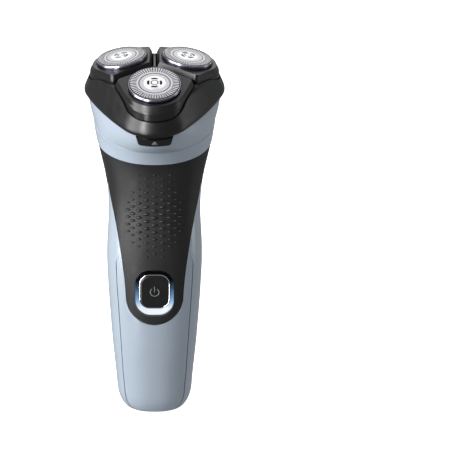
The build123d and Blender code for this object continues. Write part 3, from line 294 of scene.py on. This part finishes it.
def make_materials():
    made = {
        "handle_blue": moulded(
            "satin_blue", BLUE, 0.34, grain=0.2, depth=0.0015, tint=0.015, rub=0.02,
            Coat_Weight=1.0, Coat_Roughness=0.22,
        ),
        "grip_black": moulded(
            "soft_grip", (0.010, 0.010, 0.0105), 0.5, grain=0.12, depth=0.012,
            Specular_IOR_Level=0.38,
        ),
        "unit_black": moulded(
            "satin_black", BLACK, 0.34, grain=0.15, depth=0.006, Specular_IOR_Level=0.42
        ),
        "button_black": moulded(
            "button_black", BLACK, 0.30, grain=0.15, depth=0.004, Specular_IOR_Level=0.4
        ),
        "trimmer_grey": moulded("trimmer_black", (0.02, 0.02, 0.022), 0.4, grain=0.15),
        "printed_grey": moulded("printed_grey", (0.36, 0.37, 0.38), 0.5, grain=0.2),
        "chrome_trim": brushed("bright_trim", (0.82, 0.83, 0.85), 0.16),
        # Blade steel darkened to near black: painted shade for the cutters lying in shadow under the guards.
        "blade_steel": brushed("blade_steel", (0.07, 0.07, 0.075), 0.22),
        "nylon_white": moulded("natural_nylon", (0.72, 0.71, 0.66), 0.45, grain=0.3),
        "frame_black": moulded("frame_black", (0.03, 0.03, 0.032), 0.5, grain=0.3),
        "seal_rubber": moulded("seal_rubber", (0.02, 0.02, 0.021), 0.7, grain=0.2),
        "steel": brushed("plain_steel", (0.55, 0.55, 0.57), 0.3),
        "cell_wrap": moulded("cell_sleeve", (0.05, 0.25, 0.16), 0.3, grain=0.5),
        "contact_brass": brushed("plated_brass", (0.80, 0.62, 0.30), 0.25),
        "board_green": circuit("circuit_board"),
        "light_plastic": lit_ring("lit_ring"),
        "switch_black": moulded("switch_black", (0.03, 0.03, 0.03), 0.45),
    }
    for index in HEADS:
        made[f"guard_steel_{index}"] = turned_steel(
            f"guard_{index}", index, GUARD_ZONES, 0.24, pocket=-0.06, rim=10.2
        )
        made[f"badge_chrome_{index}"] = turned_steel(
            f"badge_{index}", index, BADGE_ZONES, 0.35, pocket=-0.02, rim=4.0
        )
    return made


def dress(node, material):
    """Gives a CAD node its material."""
    mesh = NODES[node].data
    mesh.materials.clear()
    mesh.materials.append(material)


def dress_all(made):
    for part in frame["record"]["subparts"]:
        slot = part["material_slot"]
        node = part["node"]
        if slot in HEAD_SLOTS:
            slot = f"{slot}_{node[-1]}"
        dress(node, made[slot])


# ---------------------------------------------------------------- pieces
def surface_of(node):
    """Search tree over a CAD node's surface."""
    mesh = bmesh.new()
    mesh.from_mesh(NODES[node].data)
    tree = BVHTree.FromBMesh(mesh)
    mesh.free()
    return tree


def onto_front(tree, x, z):
    """Point and normal where a line from the front meets the surface."""
    point, normal, _, _ = tree.ray_cast(Vector((x, IN_FRONT, z)), Vector((0, 1, 0)))
    return point, normal


def piece(name, mesh, material, body, smooth=True):
    data = bpy.data.meshes.new(name)
    bmesh.ops.recalc_face_normals(mesh, faces=mesh.faces)
    mesh.to_mesh(data)
    mesh.free()
    for face in data.polygons:
        face.use_smooth = smooth
    data.materials.append(material)
    made = bpy.data.objects.new(name, data)
    bpy.context.scene.collection.objects.link(made)
    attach(made, body)
    return made


# The grip's field of lozenges, in mm. "Small" is at its ends, "large" in its widest row.
BUMP_TOP, BUMP_FOOT, BUMP_WIDEST = 112.5, 76.0, 94.5
BUMP_ROW, BUMP_COLUMN, BUMP_COLUMNS_EACH_SIDE = 3.1, 3.45, 4
BUMP_CROWDING = 0.012  # how much closer the outer columns stand
BUMP_FADE_UP, BUMP_FADE_DOWN = 9.0, 11.0
FIELD_SMALL, FIELD_GAIN = 8.2, 6.2  # half width of the field, and its gain in the widest row
FIELD_TAPER, FIELD_TAPER_START = 0.55, 84.0  # narrowing for each mm below the start
BUMP_SMALL, BUMP_LARGE = 0.72, 1.65  # half width of a lozenge
BUMP_HEIGHT_SMALL, BUMP_HEIGHT_GAIN = 0.28, 0.24
BUMP_ASPECT_SMALL, BUMP_ASPECT_DROP = 0.62, 0.08  # half height over half width
EDGE_FADE, EDGE_REACH = 0.4, 14  # share lost by a lozenge this far to the side
BUMP_SEGMENTS = 16
BUMP_POWER = 1.35  # outline between a diamond, 1, and an ellipse, 2
BUMP_RINGS = [(1.0, -0.12), (0.86, 0.45), (0.6, 0.85), (0.3, 1.0)]  # (spread, share of height)


def bump_swell(z):
    """How near a height, in mm, is to the field's widest row: 1 there, 0 far away."""
    fade = BUMP_FADE_UP if z > BUMP_WIDEST else BUMP_FADE_DOWN
    return math.exp(-(((z - BUMP_WIDEST) / fade) ** 2))


def add_lozenge(mesh, point, normal, half_width, half_height, height):
    """Low rounded lozenge standing on a surface."""
    side = Vector((1, 0, 0))
    side = (side - normal * side.dot(normal)).normalized()
    up = normal.cross(side).normalized()
    if up.z < 0:
        up = -up
    previous = None
    for spread, rise in BUMP_RINGS:
        ring = []
        for k in range(BUMP_SEGMENTS):
            angle = 2 * math.pi * k / BUMP_SEGMENTS
            c, s = math.cos(angle), math.sin(angle)
            reach = 1 / (abs(c) ** BUMP_POWER + abs(s) ** BUMP_POWER) ** (1 / BUMP_POWER)
            offset = side * (c * reach * half_width * spread)
            offset += up * (s * reach * half_height * spread)
            ring.append(mesh.verts.new(point + offset + normal * (rise * height)))
        if previous:
            for k in range(BUMP_SEGMENTS):
                after = (k + 1) % BUMP_SEGMENTS
                mesh.faces.new((previous[k], previous[after], ring[after], ring[k]))
        previous = ring
    mesh.faces.new(previous)


def grip_bumps(material):
    """Staggered columns of lozenges on the grip, largest half way down."""
    tree = surface_of("grip_panel")
    mesh = bmesh.new()
    for column in range(-BUMP_COLUMNS_EACH_SIDE, BUMP_COLUMNS_EACH_SIDE + 1):
        x = column * BUMP_COLUMN * (1 - BUMP_CROWDING * column * column)
        z = BUMP_TOP - (column % 2) * BUMP_ROW / 2
        while z > BUMP_FOOT:
            swell = bump_swell(z)
            taper = FIELD_TAPER * max(0.0, FIELD_TAPER_START - z)
            if abs(x) < FIELD_SMALL + FIELD_GAIN * swell - taper:
                point, normal = onto_front(tree, x * MM, z * MM)
                fade = 1 - EDGE_FADE * (x / EDGE_REACH) ** 2
                half = (BUMP_SMALL + (BUMP_LARGE - BUMP_SMALL) * swell) * fade * MM
                tall = half * (BUMP_ASPECT_SMALL - BUMP_ASPECT_DROP * swell)
                height = (BUMP_HEIGHT_SMALL + BUMP_HEIGHT_GAIN * swell) * MM
                add_lozenge(mesh, point, normal, half, tall, height)
            z -= BUMP_ROW
    piece("grip_bumps", mesh, material, "handle")


PRINT_LIFT, PRINT_DEPTH = 0.03 * MM, 0.08 * MM  # how far a mark stands proud, and how thick


def flat_ribbon(mesh, points, width):
    """Raised ribbon along points given as (point, normal), for printed marks."""
    rails = []
    for k, (point, normal) in enumerate(points):
        before = points[max(k - 1, 0)][0]
        after = points[min(k + 1, len(points) - 1)][0]
        along = (after - before).normalized()
        side = along.cross(normal).normalized() * width / 2
        base, top = normal * (PRINT_LIFT - PRINT_DEPTH), normal * PRINT_LIFT
        rails.append(
            [
                mesh.verts.new(point - side + base),
                mesh.verts.new(point - side + top),
                mesh.verts.new(point + side + top),
                mesh.verts.new(point + side + base),
            ]
        )
    for near, far in zip(rails, rails[1:]):
        for k in range(4):
            after = (k + 1) % 4
            mesh.faces.new((near[k], near[after], far[after], far[k]))
    mesh.faces.new(rails[0])
    mesh.faces.new(rails[-1])


SYMBOL_RADIUS, SYMBOL_STROKE = 1.85 * MM, 0.27 * MM
SYMBOL_BAR = (0.0, 1.2, 2.5)  # heights of the bar's points above the middle, in mm
SYMBOL_GAP = math.radians(38)  # half of the ring's opening
SYMBOL_STEPS = 40


def power_symbol(material):
    """Broken ring and bar on the power button's face."""
    tree = surface_of("power_button")
    low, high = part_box("power_button_trim")
    middle = (low.z + high.z) / 2
    mesh = bmesh.new()
    arc = []
    for k in range(SYMBOL_STEPS + 1):
        angle = math.pi / 2 + SYMBOL_GAP + 2 * (math.pi - SYMBOL_GAP) * k / SYMBOL_STEPS
        x, z = SYMBOL_RADIUS * math.cos(angle), SYMBOL_RADIUS * math.sin(angle)
        arc.append(onto_front(tree, x, middle + z))
    flat_ribbon(mesh, arc, SYMBOL_STROKE)
    bar = [onto_front(tree, 0, middle + z * MM) for z in SYMBOL_BAR]
    flat_ribbon(mesh, bar, SYMBOL_STROKE)
    piece("power_symbol", mesh, material, "power_button", smooth=False)


# The guard's profile from its bore outwards, down and back in, as (radius, height) in mm.
GUARD_TOP = [(4.45, 0.0), (5.6, 0.05), (6.2, -0.05), (6.7, 0.0)]
GUARD_SLOT_TOP = [(7.2, 0.0), (9.7, 0.0), (10.4, -0.3)]
GUARD_SIDE = [
    (10.75, -0.95), (10.75, -2.4), (11.25, -2.4), (11.25, -3.0), (10.65, -3.0), (10.65, -4.2),
    (10.05, -4.2), (10.25, -1.1),
]
GUARD_SLOT_FOOT = [(9.8, -0.35), (7.2, -0.35)]
GUARD_UNDER = [(6.2, -0.5), (4.45, -0.5)]
GUARD_SLOTS, GUARD_SLOT_SHARE = 54, 0.52  # share of each pitch that is slot
CREASE = math.radians(25)  # edges that turn by more stay sharp


def slotted_guard(index, material):
    """Turned guard with through slots, cut as wedges between its ribs."""
    profile = GUARD_TOP + GUARD_SLOT_TOP + GUARD_SIDE + GUARD_SLOT_FOOT + GUARD_UNDER
    first, last = len(GUARD_TOP), len(GUARD_TOP) + len(GUARD_SLOT_TOP) - 1
    far = last + len(GUARD_SIDE) + 1
    near = far + len(GUARD_SLOT_FOOT) - 1
    opening = list(range(first, last)) + list(range(far, near))
    placed = head_frame(index)
    mesh = bmesh.new()
    rings = []
    for k in range(GUARD_SLOTS):
        for share in (0, GUARD_SLOT_SHARE):
            angle = 2 * math.pi * (k + share) / GUARD_SLOTS
            ring = []
            for radius, height in profile:
                spot = Vector((radius * math.cos(angle), radius * math.sin(angle), height)) * MM
                ring.append(mesh.verts.new(placed @ spot))
            rings.append(ring)
    for k, ring in enumerate(rings):
        after = rings[(k + 1) % len(rings)]
        slotted = k % 2 == 0
        for a in range(len(profile)):
            b = (a + 1) % len(profile)
            if not (slotted and a in opening):
                mesh.faces.new((ring[a], ring[b], after[b], after[a]))
        if slotted:
            mesh.faces.new((ring[last], ring[far], after[far], after[last]))
            mesh.faces.new((ring[near], ring[first], after[first], after[near]))
        mesh.faces.new([ring[a] for a in (*range(first, last + 1), *range(far, near + 1))])
    made = piece(f"slotted_guard_{index}", mesh, material, f"head_{index}")
    made.data.set_sharp_from_angle(angle=CREASE)
    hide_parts(f"guard_{index}")


BEAD_RADIUS, BEAD_CORNER = 0.26 * MM, 4.5 * MM
BEAD_TURNS, BEAD_SIDES = 12, 10


def bright_edge(material):
    """Half-round polished bead round the power button, in place of its plain CAD ring."""
    low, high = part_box("power_button_trim")
    middle = Vector(((low.x + high.x) / 2, low.y, (low.z + high.z) / 2))
    back = Vector((0, high.y - low.y, 0))
    half_width = (high.x - low.x) / 2 - BEAD_RADIUS
    half_height = (high.z - low.z) / 2 - BEAD_RADIUS
    corner = BEAD_CORNER - BEAD_RADIUS
    path = []
    for quarter, (sx, sz) in enumerate(((1, 1), (-1, 1), (-1, -1), (1, -1))):
        for k in range(BEAD_TURNS + 1):
            angle = math.pi / 2 * (quarter + k / BEAD_TURNS)
            out = Vector((math.cos(angle), 0, math.sin(angle)))
            centre = Vector((sx * (half_width - corner), 0, sz * (half_height - corner)))
            path.append((middle + centre + out * corner, out))
    mesh = bmesh.new()
    rings = []
    for point, out in path:
        ring = [mesh.verts.new(point + out * BEAD_RADIUS + back)]
        for k in range(BEAD_SIDES + 1):
            angle = math.pi * k / BEAD_SIDES
            rise = BEAD_RADIUS * (1 - math.sin(angle))
            offset = out * (BEAD_RADIUS * math.cos(angle)) + Vector((0, rise, 0))
            ring.append(mesh.verts.new(point + offset))
        ring.append(mesh.verts.new(point - out * BEAD_RADIUS + back))
        rings.append(ring)
    for near, far in zip(rings, rings[1:] + rings[:1]):
        for k in range(len(near)):
            after = (k + 1) % len(near)
            mesh.faces.new((near[k], near[after], far[after], far[k]))
    made = piece("power_button_bead", mesh, material, "power_button")
    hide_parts("power_button_trim")


MARK_FOOT = 0.16  # of the button's height
MARK_BAR, MARK_BAR_STROKE = (-1.1, 0, 1.1), 0.26 * MM  # bar points in mm
MARK_HALF, MARK_CLEAR = 1.0 * MM, 0.5 * MM  # the triangle's half width, and its gap to the bar
MARK_STEPS, MARK_STEP, MARK_STROKE = 7, 0.13 * MM, 0.14 * MM


def release_mark(material):
    """Upward triangle over a bar on the release button."""
    tree = surface_of("release_button")
    low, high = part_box("release_button")
    foot = low.z + MARK_FOOT * (high.z - low.z)
    mesh = bmesh.new()
    bar = [onto_front(tree, x * MM, foot) for x in MARK_BAR]
    flat_ribbon(mesh, bar, MARK_BAR_STROKE)
    for k in range(MARK_STEPS):
        level = foot + MARK_CLEAR + MARK_STEP * k
        half = MARK_HALF * (1 - k / MARK_STEPS)
        row = [onto_front(tree, x, level) for x in (-half, 0, half)]
        flat_ribbon(mesh, row, MARK_STROKE)
    piece("release_mark", mesh, material, "release_button", smooth=False)


# ---------------------------------------------------------------- stage
def area_light(name, place, target, size, power, height=None, gloss_only=False):
    data = bpy.data.lights.new(name, "AREA")
    data.shape = "RECTANGLE"
    data.size = size
    data.size_y = height or size
    data.energy = power
    light = bpy.data.objects.new(name, data)
    light.location = place
    aim = Vector(target) - Vector(place)
    light.rotation_euler = aim.to_track_quat("-Z", "Y").to_euler()
    light.visible_diffuse = not gloss_only
    bpy.context.scene.collection.objects.link(light)


FLOOR_FRONT, FLOOR_BACK, FLOOR_HALF_WIDTH = -2.0, 0.9, 3.0
FLOOR_BEND, FLOOR_BEND_STEPS, BACKDROP_TOP = 0.5, 12, 3.0


def floor():
    """Plain pale floor that curves up into a backdrop."""
    mesh = bmesh.new()
    profile = [(FLOOR_FRONT, 0.0), (FLOOR_BACK, 0.0)]
    for k in range(1, FLOOR_BEND_STEPS + 1):
        angle = math.pi / 2 * k / FLOOR_BEND_STEPS
        y = FLOOR_BACK + FLOOR_BEND * math.sin(angle)
        profile.append((y, FLOOR_BEND - FLOOR_BEND * math.cos(angle)))
    profile.append((FLOOR_BACK + FLOOR_BEND, BACKDROP_TOP))
    sides = (-FLOOR_HALF_WIDTH, FLOOR_HALF_WIDTH)
    rails = [[mesh.verts.new((x, y, z)) for y, z in profile] for x in sides]
    for k in range(len(profile) - 1):
        mesh.faces.new((rails[0][k], rails[1][k], rails[1][k + 1], rails[0][k + 1]))
    look = Shader("pale_floor", (0.93, 0.93, 0.93), 0.7, Specular_IOR_Level=0.1)
    look.surface.inputs["Emission Color"].default_value = (1, 1, 1, 1)
    look.surface.inputs["Emission Strength"].default_value = 1.0
    pale = look.tones(look.noise(8, 2), (0.92, 0.92, 0.92), (0.94, 0.94, 0.94))
    look.link(pale, look.surface.inputs["Base Color"])
    data = bpy.data.meshes.new("floor")
    mesh.to_mesh(data)
    mesh.free()
    for face in data.polygons:
        face.use_smooth = True
    data.materials.append(look.material)
    made = bpy.data.objects.new("floor", data)
    made.visible_diffuse = False
    made.visible_glossy = False
    bpy.context.scene.collection.objects.link(made)


def lights():
    bpy.context.scene.view_settings.view_transform = "Standard"
    world = bpy.data.worlds.new("studio")
    bpy.context.scene.world = world
    world.use_nodes = True
    background = world.node_tree.nodes["Background"]
    background.inputs["Color"].default_value = (0.95, 0.97, 1.0, 1)
    background.inputs["Strength"].default_value = 0.30
    middle = (0, 0, 0.09)
    area_light("key", (-0.95, -0.45, 0.30), middle, 0.62, 20, height=1.1)
    area_light("strip", (-0.62, -1.0, 0.12), middle, 0.2, 32, height=1.3, gloss_only=True)
    area_light("fill", (0.95, 0.05, 0.25), middle, 0.2, 1.3, height=0.9)
    area_light("top", (-0.1, 0.6, 1.1), middle, 1.6, 9)


CAMERA_PLACE, CAMERA_DIP = (0, -0.4426, 0.2277), 17.85  # the dip is in degrees below level


def camera():
    data = bpy.data.cameras.new("camera")
    data.lens = 85.0
    data.sensor_width = 36.0
    data.shift_x = 0.158
    made = bpy.data.objects.new("camera", data)
    made.location = CAMERA_PLACE
    made.rotation_euler = (math.radians(90 - CAMERA_DIP), 0, 0)
    bpy.context.scene.collection.objects.link(made)
    bpy.context.scene.camera = made


camera()
floor()
lights()
materials = make_materials()
dress_all(materials)
grip_bumps(materials["grip_black"])
for head in HEADS:
    slotted_guard(head, materials[f"guard_steel_{head}"])
bright_edge(materials["chrome_trim"])
power_symbol(materials["printed_grey"])
release_mark(materials["printed_grey"])
